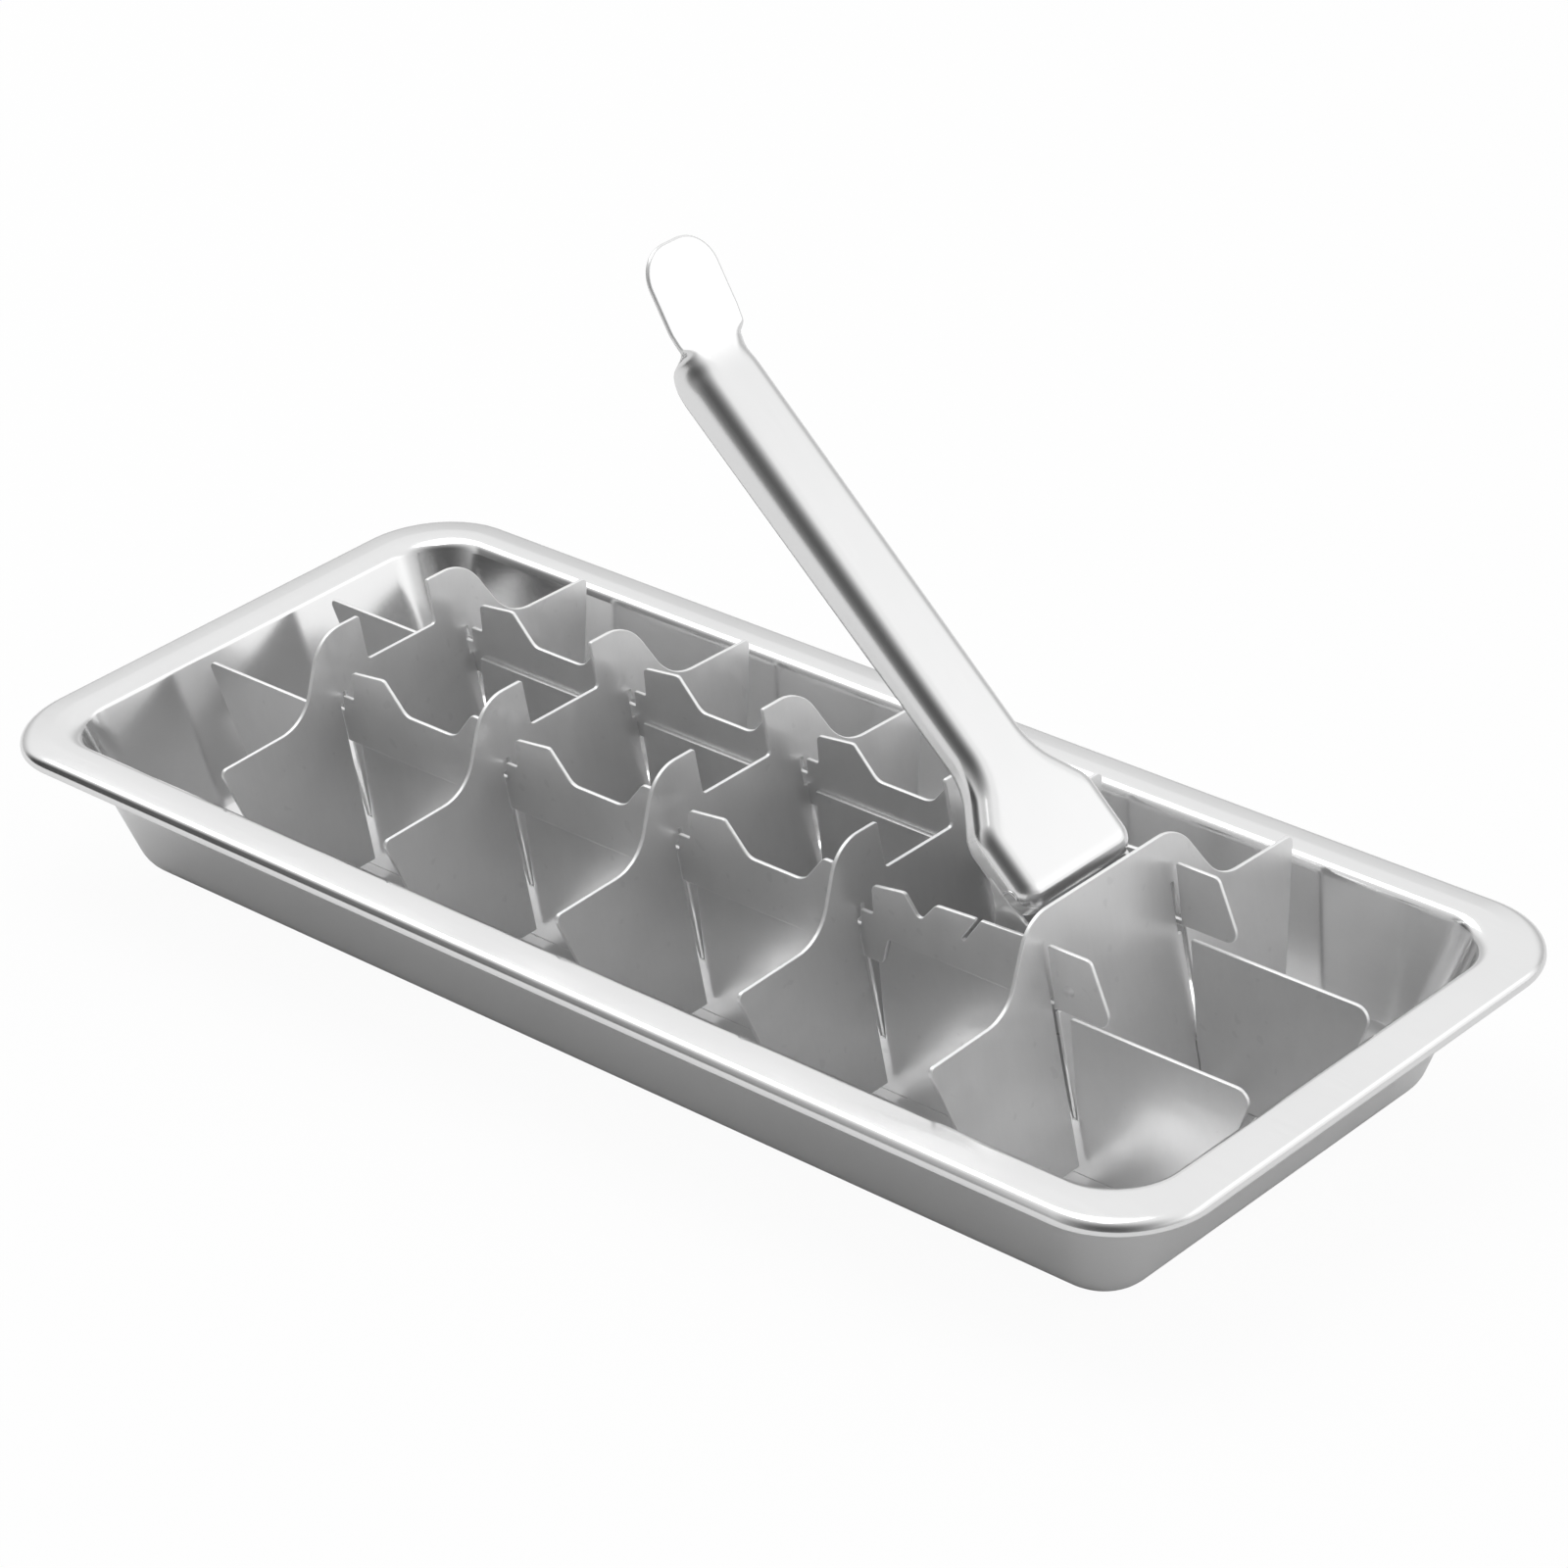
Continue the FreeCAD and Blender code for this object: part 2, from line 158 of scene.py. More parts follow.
# Quarter turns that round off both edges of a sheet: inset grows as 1 - cos a while the
# height goes out as sin a, from one face over the edge to the other.
def edgeProfile(thickness, rounding, steps=4):
    a = np.linspace(math.pi / 2, 0, steps + 1)
    inset = rounding * (1 - np.cos(a))
    height = thickness / 2 - rounding * (1 - np.sin(a))
    return np.concatenate([inset, inset[::-1]]), np.concatenate([height, -height[::-1]])


# Flat leaf: the edge profile carried round the outline, and its two faces as caps.
# place turns (u, v, height) into (x, y, z).
def addLeaf(shell, loop, thickness, rounding, place):
    inset, height = edgeProfile(thickness, rounding)
    flat = loop[None] + inset[:, None, None] * inward(loop)[None]
    lift = np.broadcast_to(height[:, None], flat.shape[:2])
    wearAndLight = np.where(inset < rounding * 0.9, 1.0, 0.0)
    shell.add(place(flat[..., 0], flat[..., 1], lift), capped=True, edge=wearAndLight)


# Leaf with one hole: both outlines carry the edge profile, and the faces are ruled between
# them, point k of the outer outline to point k of the hole.
def addPiercedLeaf(shell, loop, hole, thickness, rounding, place, rows=6):
    inset, height = edgeProfile(thickness, rounding)
    outer = loop[None] + inset[:, None, None] * inward(loop)[None]
    inner = hole[None] - inset[:, None, None] * inward(hole)[None]
    t = np.linspace(0, 1, rows + 2)[1:-1, None, None]
    back = outer[-1] * (1 - t) + inner[-1] * t
    front = inner[0] * (1 - t) + outer[0] * t
    flat = np.concatenate([outer, back, inner[::-1], front])
    faces = np.full(rows, height[-1]), np.full(rows, height[0])
    lift = np.concatenate([height, faces[0], height[::-1], faces[1]])
    lift = np.broadcast_to(lift[:, None], flat.shape[:2])
    shell.add(place(flat[..., 0], flat[..., 1], lift), closedRows=True, edge=np.ones(len(flat)))


# Turned piece about a line along Y: profile rows (radius, y) swept through a full circle.
def addTurned(shell, profile, x, z, segments=48):
    a = np.linspace(0, 2 * math.pi, segments, endpoint=False)
    radius, y = profile[:, :1], np.broadcast_to(profile[:, 1:], (len(profile), segments))
    shell.add(np.stack([x + radius * np.cos(a), y, z + radius * np.sin(a)], -1), capped=True)


# A socket that takes + - and *: each operator adds one Math node.
class Wire:
    def __init__(self, shader, socket):
        self.shader, self.socket = shader, socket

    def maths(self, operation, *values):
        node = self.shader.node("ShaderNodeMath", {"operation": operation}, dict(enumerate(values)))
        return Wire(self.shader, node.outputs[0])

    def __add__(self, other): return self.maths("ADD", self, other)
    def __radd__(self, other): return self.maths("ADD", other, self)
    def __sub__(self, other): return self.maths("SUBTRACT", self, other)
    def __rsub__(self, other): return self.maths("SUBTRACT", other, self)
    def __mul__(self, other): return self.maths("MULTIPLY", self, other)
    def __rmul__(self, other): return self.maths("MULTIPLY", other, self)

    def larger(self, other):
        return self.maths("MAXIMUM", self, other)

    def clamped(self, low=0.0, high=1.0):
        return self.maths("MINIMUM", self.larger(low), high)

    # 0 below low, 1 above high, smooth between
    def ramp(self, low, high):
        node = self.shader.node(
            "ShaderNodeMapRange", {"interpolation_type": "SMOOTHSTEP"},
            {"Value": self, "From Min": low, "From Max": high},
        )
        return Wire(self.shader, node.outputs[0])


class Shader:
    def __init__(self, tree):
        self.tree = tree
        tree.nodes.clear()

    def node(self, kind, settings=None, inputs=None):
        made = self.tree.nodes.new(kind)
        for name, value in (settings or {}).items():
            setattr(made, name, value)
        for key, value in (inputs or {}).items():
            if isinstance(value, Wire):
                self.tree.links.new(value.socket, made.inputs[key])
            elif isinstance(value, bpy.types.NodeSocket):
                self.tree.links.new(value, made.inputs[key])
            else:
                made.inputs[key].default_value = value
        return made

    def wire(self, node, output=0):
        return Wire(self, node.outputs[output])

    # noise on object coordinates, after a turn and a stretch: scale is cells per metre on each axis
    def noise(self, scale, detail, turn=(0, 0, 0), roughness=0.5, distortion=0.0):
        place = self.node("ShaderNodeTexCoord").outputs["Object"]
        turned = self.node(
            "ShaderNodeMapping", {"vector_type": "POINT"}, {"Vector": place, "Rotation": turn},
        ).outputs[0]
        spread = self.node("ShaderNodeVectorMath", {"operation": "MULTIPLY"}, {0: turned, 1: scale})
        made = self.node("ShaderNodeTexNoise", {"noise_dimensions": "3D"}, {
            "Vector": spread.outputs[0], "Scale": 1.0,
            "Detail": detail, "Roughness": roughness, "Distortion": distortion,
        })
        return self.wire(made, 0)

    def tint(self, amount, dark, light):
        shades = {0: amount, 6: (*dark, 1), 7: (*light, 1)}
        return self.node("ShaderNodeMix", {"data_type": "RGBA"}, shades).outputs[2]


# One recipe for the steel finishes: grain lines along one direction, soft cloudy patches from
# rolling, rare fine specks and wiped smears, and edges in a shade of their own; the same lighter
# shade is painted light on the tray's outer walls.
def steel(name, look):
    material = bpy.data.materials.new(name)
    material.use_nodes = True
    s = Shader(material.node_tree)
    fineGrain = tuple(look["fineness"] * g for g in look["grain"])
    smearSize = tuple(look["cloud"] * f for f in look["smearScale"])
    grain = s.noise(look["grain"], detail=3.0, turn=look["turn"], roughness=0.6)
    fine = s.noise(fineGrain, detail=1.0, turn=look["turn"])
    cloud = s.noise((look["cloud"],) * 3, detail=3.0, distortion=0.6)
    smear = s.noise(smearSize, detail=2.0, distortion=1.5).ramp(*look["smearRamp"])
    speck = s.noise((look["speck"],) * 3, detail=0.0).ramp(*look["speckRamp"])
    speck = speck * look["specks"]
    # lighter colour where the rims are worn, and painted light on the tray's outer walls and bottom
    wearAndLight = s.wire(s.node("ShaderNodeAttribute", {"attribute_name": "wearAndPaintedLight"}), "Fac")
    lines = grain * (1 - look["fineShare"]) + fine * look["fineShare"]
    lineShift, cloudShift = lines - 0.5, cloud - 0.5
    shade = 0.5 + lineShift * look["contrast"] + cloudShift * look["patches"]
    shade = (shade - speck * look["speckShade"] + wearAndLight * look["edge"]).clamped()
    colour = s.tint(shade, look["dark"], look["light"])
    rough = look["rough"] + (cloudShift + lineShift) * look["uneven"] + smear * look["smear"]
    rough = rough + speck * look["speckRough"] + wearAndLight * look["edgeRough"]
    rough = rough.clamped(*look["roughRange"])
    metal = (look["metal"] - wearAndLight * look["dull"]).clamped()
    height = lines * look["relief"] + cloud * look["wave"] - speck * look["pit"]
    bump = s.node("ShaderNodeBump", None, {
        "Strength": 1.0, "Distance": look["depth"], "Height": height,
    })
    body = s.node("ShaderNodeBsdfPrincipled", None, {
        "Base Color": colour, "Metallic": metal, "Roughness": rough, "Normal": bump.outputs[0],
    })
    s.node("ShaderNodeOutputMaterial", None, {"Surface": body.outputs[0]})
    return material


leverTilt = 44.4  # degrees of the lever's panel over the horizontal

# what the finishes share: grain, cloud and speck are cells per metre, depth is in metres
steelLook = {
    "turn": (0, 0, 0), "metal": 1.0, "dull": 0.0, "patches": 0.3, "depth": 0.000008,
    "fineness": 3.1, "fineShare": 0.35, "uneven": 0.10, "edgeRough": 0.04, "roughRange": (0.05, 0.9),
    "smearScale": (0.5, 1.6, 1.6), "smearRamp": (0.52, 0.72), "speckRamp": (0.76, 0.82),
    "speckShade": 0.5, "speckRough": 0.2, "pit": 0.3,
}
# on the tray the edge value paints the outer walls and the bottom lighter: painted light, not a
# finish
traySteel = steel("traySteel", {
    **steelLook, "dark": (0.68, 0.68, 0.682), "light": (0.92, 0.92, 0.92),
    "contrast": 0.2, "edge": 0.45, "specks": 0.0, "rough": 0.15, "smear": 0.05,
    "grain": (60, 1100, 1100), "cloud": 16, "speck": 420, "relief": 0.25, "wave": 5.0,
})
leverSteel = steel("leverSteel", {
    **steelLook, "dark": (0.74, 0.74, 0.742), "light": (0.89, 0.89, 0.89),
    "contrast": 0.3, "edge": 0.1, "specks": 0.0, "rough": 0.20, "dull": 0.45, "smear": 0.05,
    "grain": (50, 1300, 1300), "turn": (0, math.radians(-leverTilt), 0),
    "cloud": 26, "speck": 380, "relief": 0.3, "wave": 3.0,
})
leafSteel = steel("leafSteel", {
    **steelLook, "dark": (0.74, 0.74, 0.742), "light": (0.93, 0.93, 0.93),
    "contrast": 0.3, "patches": 0.7, "edge": 0.3, "specks": 0.4, "rough": 0.36, "metal": 0.78,
    "smear": 0.08, "grain": (300, 900, 120), "cloud": 55, "speck": 500,
    "relief": 0.4, "wave": 5.0, "depth": 0.00002,
})
pinSteel = steel("pinSteel", {
    **steelLook, "dark": (0.50, 0.50, 0.502), "light": (0.78, 0.78, 0.78),
    "contrast": 0.6, "edge": 0.2, "specks": 0.2, "rough": 0.26, "smear": 0.02,
    "grain": (500, 3500, 500), "cloud": 120, "speck": 900, "relief": 0.8, "wave": 1.0,
})
print("finishes made")


# Pairs are for the ends and the sides; those of a rounding are for the upper face and the
# underside, and those of wallCorner for the bottom and the edge's height. The last value is
# the share of the profile from which the outside is painted lighter, as painted light.
trayValues = {
    "edgeHalf": (140.0, 59.0), "edgeZ": 29.5, "crown": (0.3, 0.5), "lipDrop": 2.5,
    "edgeCorner": 17.8, "mouthInset": (5.5, 5.1), "mouthCorner": 14.6,
    "wallHalf": (131.5, 50.6), "draft": (0.403, 0.240), "wallCorner": (10.1, 13.3),
    "bottomRound": 8.5, "bottomCorner": 3.0, "bottomEase": 1.0, "underFlat": 1.0, "sheet": 1.0,
    "mouthRound": (2.4, 1.3), "crownRound": (9.0, 5.0), "curlRound": (2.0, 0.35),
    "curlSheet": 1.2, "lipRound": 0.42, "paintedLightFrom": 0.75,
}


# Pressed basin. Each profile row is a rounded rectangle (half length, half width, corner
# radius, height); the point at turn angle a in a corner is corner centre + radius * (cos a, sin a),
# and its height blends the end's and the side's profile by cos^2 a and sin^2 a.
def makeTray(v):
    sheet, lip, bottom = v["sheet"], v["edgeZ"] - v["lipDrop"], v["bottomRound"]
    perArc, floorRows, perCorner, perSide = 10, 13, 22, 14

    def wall(z, inset, axis):
        draft = v["draft"][axis]
        return v["wallHalf"][axis] - draft * (v["edgeZ"] - z) - inset * math.hypot(1, draft)

    def corner(z, inset=0.0):
        low, high = v["wallCorner"]
        return low + (high - low) * z / v["edgeZ"] - inset

    def profile(axis):
        edge, mouth = v["edgeHalf"][axis], v["edgeHalf"][axis] - v["mouthInset"][axis]
        top = v["edgeZ"] + v["crown"][axis]
        return roundedPath([
            (wall(sheet, sheet, axis) - bottom, sheet, 0),
            (wall(sheet, sheet, axis), sheet, bottom - sheet),
            (wall(top, sheet, axis), top, v["mouthRound"][0]),
            (mouth, top, v["crownRound"][0]),
            (edge, v["edgeZ"], v["curlRound"][0]),
            (edge, lip, v["lipRound"]),
            (edge - sheet, lip, v["lipRound"]),
            (edge - sheet, v["edgeZ"] - v["curlSheet"] * sheet, v["curlRound"][1]),
            (mouth, top - sheet, v["crownRound"][1]),
            (wall(top - sheet, 0, axis), top - sheet, v["mouthRound"][1]),
            (wall(0, 0, axis), 0, bottom),
            (wall(0, 0, axis) - bottom - v["underFlat"], 0, 0),
        ], perArc, closed=False)

    ends, sides = profile(0), profile(1)
    # the corner radius at each of the profile's twelve corners
    top, edgeCorner, ease = v["edgeZ"] + max(v["crown"]), v["edgeCorner"], v["bottomEase"]
    corners = [
        v["bottomCorner"], corner(sheet, sheet) - ease, corner(top, sheet), v["mouthCorner"],
        edgeCorner, edgeCorner, edgeCorner - sheet, edgeCorner - sheet,
        v["mouthCorner"], corner(top - sheet), corner(0) - ease, v["bottomCorner"],
    ]
    path = [(k, value, 0) for k, value in enumerate(corners)]
    radii = roundedPath(path, perArc, closed=False)[:, 1]
    # inside the bottom rounding the corner radius shrinks with the half width
    for row in (1, 10):
        span = slice(row * perArc, (row + 1) * perArc)
        shrink = sides[span, 0].max() - sides[span, 0]
        radii[span] = np.maximum(radii[span] + ease - shrink, v["bottomCorner"])

    # the floors: the first and last rows scaled down towards the middle
    def withFloors(values, scale):
        return np.concatenate([scale * values[0], values, scale[::-1] * values[-1]])

    shrinking, level = np.linspace(0.03, 1, floorRows + 1)[:-1], np.ones(floorRows)
    halfX, endZ = withFloors(ends[:, 0], shrinking), withFloors(ends[:, 1], level)
    halfY, sideZ = withFloors(sides[:, 0], shrinking), withFloors(sides[:, 1], level)
    halfX, halfY, endZ, sideZ = (values[:, None, None] for values in (halfX, halfY, endZ, sideZ))
    radius = withFloors(radii, shrinking)[:, None, None]

    quarter = np.arange(4)[:, None] * math.pi / 2
    a = np.linspace(0, math.pi / 2, perCorner)[None] + quarter
    signX, signY = np.array([1, -1, -1, 1])[:, None], np.array([1, 1, -1, -1])[:, None]
    x = signX * (halfX - radius) + radius * np.cos(a)
    y = signY * (halfY - radius) + radius * np.sin(a)
    z = endZ * np.cos(a) ** 2 + sideZ * np.sin(a) ** 2
    arcs = np.stack([x, y, z], -1)
    t = np.linspace(0, 1, perSide + 2)[1:-1, None]
    straight = arcs[:, :, -1:] * (1 - t) + np.roll(arcs, -1, 1)[:, :, :1] * t
    rows = len(arcs)
    grid = np.concatenate([arcs, straight], 2).reshape(rows, -1, 3)
    # painted light: outside, the walls and the bottom are painted a shade lighter than the flange,
    # standing in for brighter reflections
    paintedLightRows = np.linspace(0, 1, rows) > v["paintedLightFrom"]
    shell = Shell()
    shell.add(grid, capped=True, edge=paintedLightRows.astype(float))
    return shell.build("trayBasin", traySteel)


tray = makeTray(trayValues)
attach(tray, "tray")
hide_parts("tray")
print("tray made")


# end is (half width, height, slope) of the wings; bends are (y, radius) of the two curves
# from an ear down to its wing. The strip's slot starts at innerSlot and the slide's slot is
# outerSlot, both along y. Plate 5 has the values named last.
plateValues = {
    "places": (-86.0, -43.0, 0.0, 43.0, 86.0), "gaugeZ": 39.3, "lean": 8.0, "rockZ": 11.8,
    "leaf": 0.8, "rounding": 0.18, "bottom": 3.4, "end": (47.0, 34.4, 0.301),
    "wingRound": 1.2, "wingBend": 0.5, "bottomRound": 8.0,
    "earTop": 49.5, "earBends": ((18.5, 8.7), (26.2, 9.5)),
    "notch": (8.65, 40.8), "notchRound": (0.8, 0.6),
    "lastTop": 50.4, "lastBends": ((19.0, 8.4), (27.4, 8.6)), "lastWing": 36.1,
    "innerSlot": 15.1, "outerSlot": (15.95, 17.15), "slotRound": 0.15, "slotFoot": 0.3,
    "rockRound": 0.1, "window": (31.8, 37.2), "lastWindowTop": 41.3, "tongueZ": 35.0,
    "tongueGap": 0.03,
}


def rockX(v, place):
    return place + (v["gaugeZ"] - v["rockZ"]) * math.tan(math.radians(v["lean"]))


# Plate drawn upright across the tray, then leaned about its rocking edge:
# x = rock + h cos l - (z - rockZ) sin l, z = rockZ + h sin l + (z - rockZ) cos l.
def makePlate(v, number, last):
    endY, wing, slope = v["end"]
    top, bends = (v["lastTop"], v["lastBends"]) if last else (v["earTop"], v["earBends"])
    window = v["lastWindowTop"] if last else v["window"][1]
    wing = v["lastWing"] if last else wing
    low, rock, sill, tongue = v["bottom"], v["rockZ"], v["window"][0], v["tongueZ"]
    footY = endY - slope * (wing - low)
    in0, (out0, out1) = v["innerSlot"], v["outerSlot"]
    tip, small, foot = out0 - v["tongueGap"], v["slotRound"], v["slotFoot"]
    half = [
        (bends[0][0], top, bends[0][1]), (bends[1][0], wing + v["wingBend"], bends[1][1]),
        (endY, wing, v["wingRound"]), (footY, low, v["bottomRound"]),
        (out1, low, foot), (out1, tongue, small), (out0, tongue, 0), (out0, window, small),
        (in0, window, small), (in0, sill, small), (tip, sill, 0), (tip, rock, 0),
        (in0, rock, v["rockRound"]), (in0, low, foot),
    ]
    notchY, notchZ = v["notch"]
    notch = [(notchY, z, r) for z, r in zip((notchZ, top), v["notchRound"])]
    right = half if last else notch + half
    loop = outline(right + [(-y, z, r) for y, z, r in reversed(right)], perArc=10)
    lean, rockAt = math.radians(v["lean"]), rockX(v, v["places"][number - 1])

    def place(y, z, h):
        return np.stack([
            rockAt + h * math.cos(lean) - (z - rock) * math.sin(lean), y,
            rock + h * math.sin(lean) + (z - rock) * math.cos(lean),
        ], -1)

    shell = Shell()
    addLeaf(shell, loop, v["leaf"], v["rounding"], place)
    return shell.build("crossPlate%d" % number, leafSteel)


for number in range(1, 6):
    name = "plate_%d" % number
    piece = makePlate(plateValues, number, number == 5)
    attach(piece, name)
    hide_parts(name)
print("cross plates made")


# The V slots hold the plates: vLeans are the angles of their two sides, vRise the height
# and vGap the play under the rocking edge. lugWay gives, in lug radii, how far the shoulder
# starts before the pivot and how the lug's back runs down after it.
stripValues = {
    "y": (15.2, 16.0), "z": (1.0, 31.3), "x": (-124.0, 128.5), "rounding": 0.18,
    "slant": 0.437, "footRound": 9.0, "topRound": (1.0, 2.5),
    "vLeans": (1.2, 17.6), "vRise": 24.7, "vGap": 0.2, "vHalf": 0.5, "vRound": (0.3, 0.15),
    "shoulder": (52.0, 34.8), "shoulderRun": 3.5, "shoulderRound": 1.5,
    "pivot": (76.8, 36.5), "lug": 2.8, "lugWay": (2.2, 1.3, 1.9), "lugRound": (0.6, 0.2),
}
# Heights of the comb's upper edge from plate to plate: tab, low run, ramp and peak; then the
# cheek with its dip. gap is the clear way before and after a plate, ramp the distances of
# the slopes' ends, dipWay those round the dip, notchFlare those of the last notch's mouth.
# dimple is (ahead of the plate, height, radius, rise), slit (x, foot x, foot height, half
# width), and slitSkew how its foot and its far side differ from its near side.
slideValues = {
    "y": (16.05, 16.85), "rounding": 0.18, "ledge": 36.7, "low": 37.7, "tabZ": (42.4, 43.5),
    "tabLength": 13.2, "ramp": (5.2, 7.4, 2.2), "peak": 43.8, "dip": 39.2,
    "dipWay": (1.9, 3.2, 3.8), "cheek": (44.1, 44.7), "cheekRun": 9.6,
    "endTab": 9.6, "endSlope": 4.5, "under": (27.5, 32.8), "stepX": 50.5, "stepRun": 1.6,
    "gap": (4.3, 4.4), "notch": 1.86, "notchFoot": 33.71, "notchPlace": 0.485,
    "notchFlare": (2.46, 0.82), "dimple": (4.8, 37.3, 1.5, 0.3),
    "slit": (71.5, 67.8, 39.2, 0.28), "slitSkew": (0.7, 0.35, 1.8),
}
lobe = 0.99  # share of the half width that rounds a lobe or a slot's end


def sideLeaf(name, loop, yRange, side, rounding, shell):
    middle, leaf = (yRange[0] + yRange[1]) / 2, yRange[1] - yRange[0]

    def place(x, z, h):
        return np.stack([x, side * middle + h, z], -1)

    addLeaf(shell, loop, leaf, rounding, place)
    return shell.build(name, leafSteel)


def makeStrip(v, plates, side, word):
    low, top = v["z"]
    startX, endX = v["x"]
    slant = v["slant"] * (top - low)
    px, pz = v["pivot"]
    lug, (before, under, behind) = v["lug"], v["lugWay"]
    shoulderX, shoulderZ = v["shoulder"]
    soft, (lugFoot, lugEnd) = v["shoulderRound"], v["lugRound"]
    startRound, endRound = v["topRound"]
    mouth, small = v["vRound"]
    foot, half = plates["rockZ"] - v["vGap"], v["vHalf"]
    rise = (top - foot) / (v["vRise"] + v["vGap"])
    near, far = (math.tan(math.radians(a)) * v["vRise"] * rise for a in v["vLeans"])
    path = [(startX, top, startRound)]
    for number, place in enumerate(plates["places"]):
        x = rockX(plates, place)
        if number == 4:
            path += [
                (shoulderX - v["shoulderRun"], top, 1.0), (shoulderX, shoulderZ, soft),
                (px - before * lug, shoulderZ, soft), (px - lug, pz, 0),
                (px - lug, pz + lug, lug * lobe), (px + lug, pz + lug, lug * lobe),
                (px + lug, pz, 0), (px + under * lug, pz - lug, lugFoot),
                (px + behind * lug, top, lugEnd),
            ]
        path += [
            (x - half - far, top, mouth), (x - half, foot, small),
            (x + half, foot, small), (x + half - near, top, mouth),
        ]
    path += [
        (endX, top, endRound), (endX - slant, low, v["footRound"]),
        (startX + slant, low, v["footRound"]),
    ]
    return sideLeaf("fixedStrip" + word, outline(path), v["y"], side, v["rounding"], Shell())


def makeSlide(v, plates, side, word):
    before, after = v["gap"]
    places, tab = plates["places"], v["tabLength"]
    ledge, half, foot = v["ledge"], v["notch"] / 2, v["notchFoot"]
    tabStart, tabEnd = v["tabZ"]
    toLow, fromLow, toPeak = v["ramp"]
    startX = places[0] - before

    def notch(x):
        middle = x + v["notchPlace"]
        return [
            (middle - half, ledge, 0.3), (middle - half, foot, 0.2),
            (middle + half, foot, 0.2), (middle + half, ledge, 0.3),
        ]

    path = [(startX, ledge, 1.5)]
    for x, following in zip(places[:-2], places[1:]):
        ramp = following - before
        path += notch(x) + [
            (x + after, ledge, 0.5), (x + after, tabStart, 1.2), (x + tab, tabEnd, 1.2),
            (x + tab + toLow, v["low"], 3.0), (ramp - fromLow, v["low"], 4.0),
            (ramp - toPeak, v["peak"], 1.5), (ramp, v["peak"], 0.6), (ramp, ledge, 0.5),
        ]
    x, last = places[-2:]
    dipAt, dipFrom, dipTo = v["dipWay"]
    dip = x + tab + dipAt
    cheekStart, cheek = v["cheek"]
    end = last + v["notchPlace"]
    flareBefore, flareAfter = v["notchFlare"]
    endX, (underStart, underEnd) = last + v["endTab"], v["under"]
    slitX, slitFoot, slitFootZ, wide = v["slit"]
    footWide, footDrop, mouthWide = v["slitSkew"]
    slitZ = tabEnd + (slitX - dip - dipTo) / v["cheekRun"] * (cheekStart - tabEnd)
    path += notch(x) + [
        (x + after, ledge, 0.5), (x + after, tabStart, 1.2), (dip - dipFrom, tabEnd, 1.0),
        (dip, v["dip"], 1.0), (dip + dipTo, tabEnd, 2.0), (slitX - wide, slitZ, 0.3),
        (slitFoot - wide, slitFootZ, 0.2),
        (slitFoot + wide * footWide, slitFootZ - footDrop, 0.2),
        (slitX + wide * mouthWide, cheekStart, 0.3),
        (end - half - flareBefore, cheek, 0.4), (end - half, foot, 0.2), (end + half, foot, 0.2),
        (end + half - flareAfter, cheek, 0.4), (endX, cheek, 1.5),
        (endX + v["endSlope"], underEnd, 2.2), (v["stepX"], underEnd, 1.0),
        (v["stepX"] - v["stepRun"], underStart, 1.0), (startX, underStart, 2.0),
    ]
    # pressed dimple: a low dome whose height falls as cos^1.2 of the way out
    ahead, z, radius, rise = v["dimple"]
    root = 0.1
    way = np.linspace(0.02, 1, 12)
    dome = v["y"][1] - root + (rise + root) * np.cos(way * math.pi / 2) ** 1.2
    shell = Shell()
    addTurned(shell, np.stack([radius * way, side * dome], -1), last + ahead, z)
    return sideLeaf("slideComb" + word, outline(path), v["y"], side, v["rounding"], shell)


# pole is the radius that the caps of turned pieces close
studValues = {
    "x": 77.31, "z": 40.5, "radius": 1.0, "y": (12.5, 16.05), "chamfer": 0.2, "pole": 0.05,
}


def makeStud(v, side, word):
    (y0, y1), r, c = v["y"], v["radius"], v["chamfer"]
    profile = np.array([(v["pole"], y0), (r - c, y0), (r, y0 + c), (r, (y0 + y1) / 2), (r, y1)])
    shell = Shell()
    addTurned(shell, profile * (1, side), v["x"], v["z"], 32)
    return shell.build("linkStud" + word, pinSteel)


for side, word in ((-1, "Near"), (1, "Far")):
    low = word.lower()
    strip = makeStrip(stripValues, plateValues, side, word)
    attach(strip, "grid")
    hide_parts("strip_" + low)
    slide = makeSlide(slideValues, plateValues, side, word)
    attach(slide, "slide_" + low)
    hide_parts("slide_" + low)
    stud = makeStud(studValues, side, word)
    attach(stud, "slide_" + low)
    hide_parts("link_stud_" + low)
print("strips, slides and studs made")


# head and collar are (radius, y from, y to), end is (radius, y); dome shapes the head
# towards its middle: (share of the radius, and the heights there, near and at the rim)
pinValues = {
    "pivot": (76.8, 36.5), "head": (2.3, 11.85, 12.75), "shank": 1.3,
    "collar": (2.2, 13.85, 15.2), "end": (1.28, 15.95), "chamfer": 0.25, "pole": 0.05,
    "dome": (0.45, 0.02, 0.12, 0.4), "endChamfer": (0.15, 0.1),
}


def makePins(v):
    (hr, h0, h1), (cr, c0, c1), (er, e1) = v["head"], v["collar"], v["end"]
    s, c, pole = v["shank"], v["chamfer"], v["pole"]
    (share, z0, z1, z2), (inset, drop) = v["dome"], v["endChamfer"]
    profile = np.array([
        (pole, h0), (hr * share, h0 + z0), (hr - c, h0 + z1), (hr, h0 + z2), (hr, h1),
        (s, h1), (s, c0), (cr - c / 2, c0), (cr, c0 + c / 2), (cr, c1 - c / 2),
        (cr - c / 2, c1), (er, c1), (er, e1 - drop), (er - inset, e1), (pole, e1),
    ])
    shell = Shell()
    for side in (-1, 1):
        addTurned(shell, profile * (1, side), *v["pivot"], 40)
    return shell.build("hingePins", pinSteel)


pins = makePins(pinValues)
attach(pins, "grid")
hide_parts("pivot_pins")
print("hinge pins made")


